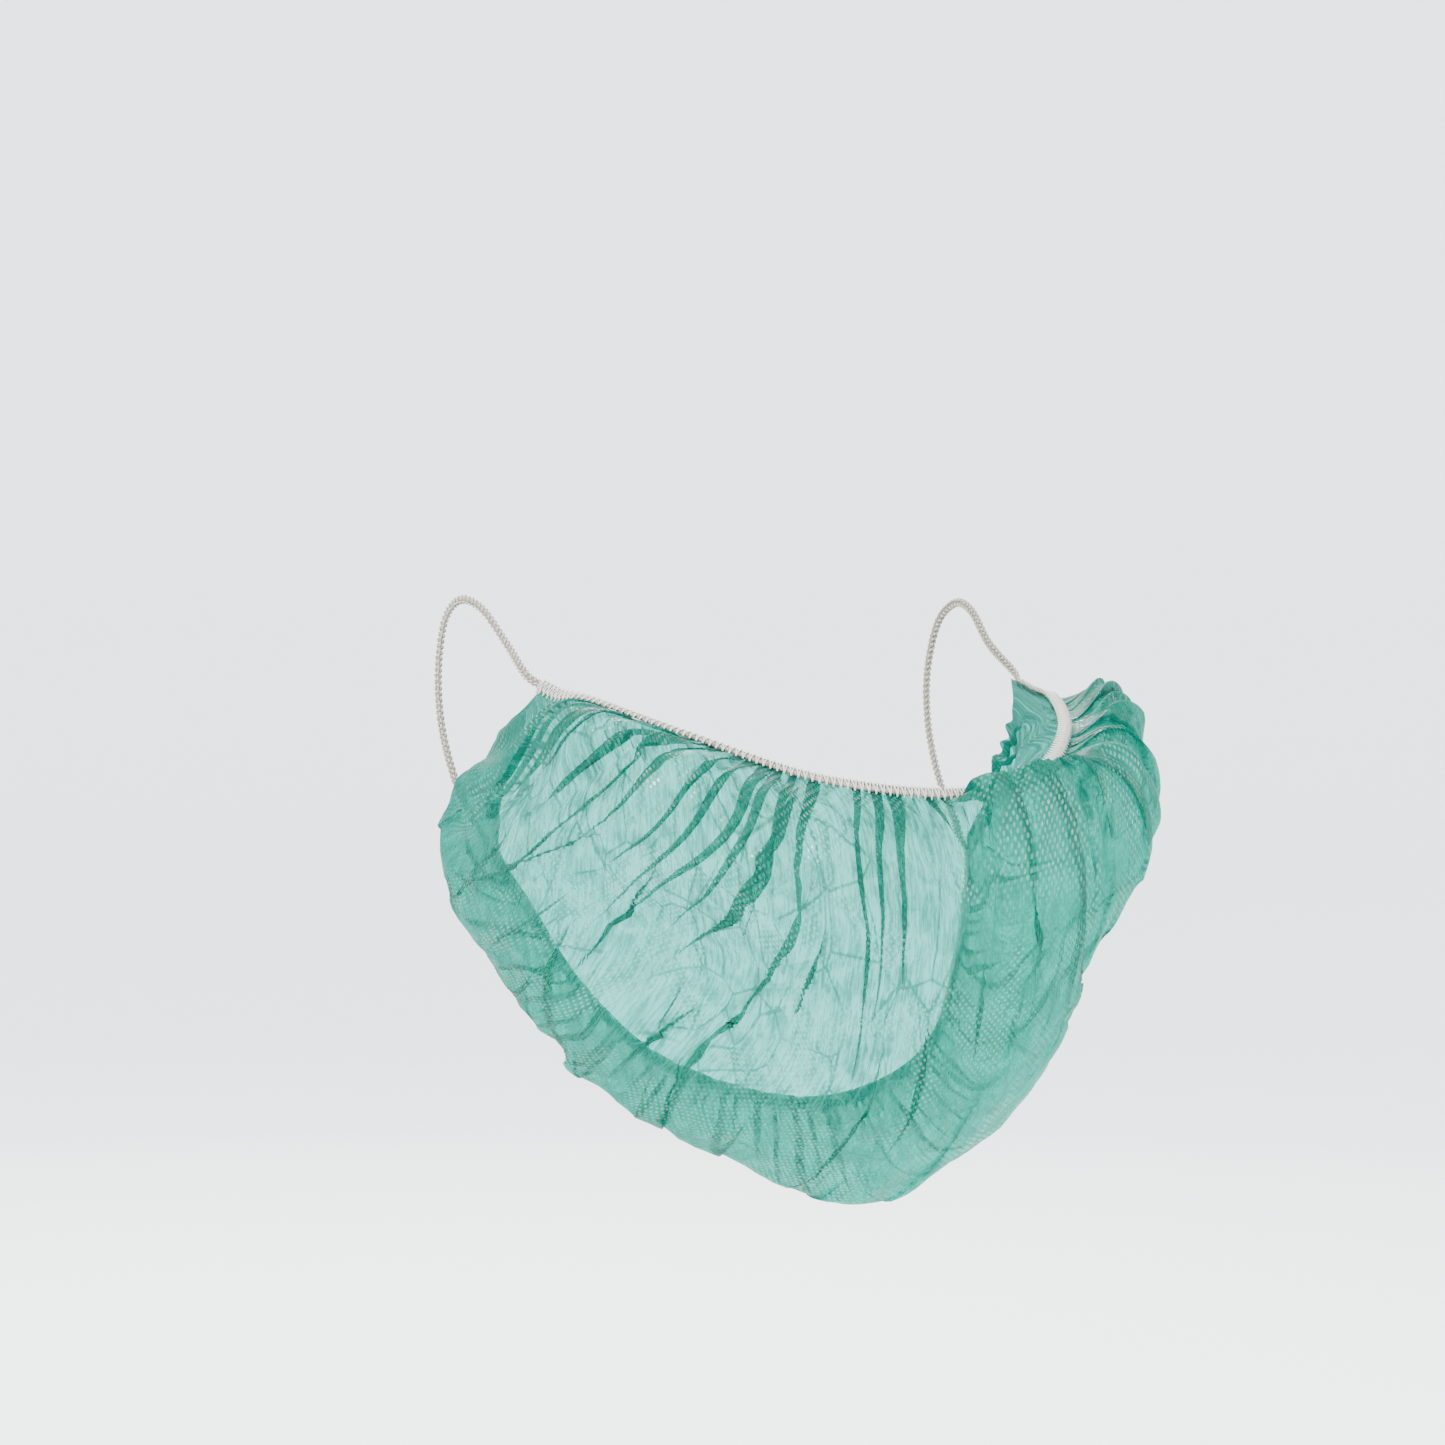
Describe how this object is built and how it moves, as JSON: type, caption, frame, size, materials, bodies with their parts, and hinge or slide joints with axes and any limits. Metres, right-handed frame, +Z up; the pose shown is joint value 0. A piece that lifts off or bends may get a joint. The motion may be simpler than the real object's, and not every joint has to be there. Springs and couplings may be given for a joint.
{
  "type": "disposable beard net",
  "caption": "Puffed pouch of thin nonwoven fabric gathered on elastic, worn over beard and chin and held by a loop round each ear.",
  "frame": {"origin": "midway between the tops of the two ear loops, where the net hangs on the ears", "axes": "+X to the wearer's left, -Y the way the wearer faces, +Z up"},
  "size_m": [0.1809, 0.1384, 0.1491],
  "materials": {
    "fabric": "thin translucent green nonwoven, matt with glinting bond points",
    "elastic": "off-white knitted elastic, matt"
  },
  "bodies": {
    "root": {"net_pouch": "fabric", "top_elastic": "elastic", "lower_elastic": "elastic", "ear_loop_right": "elastic", "ear_loop_left": "elastic"}
  },
  "joints": []
}
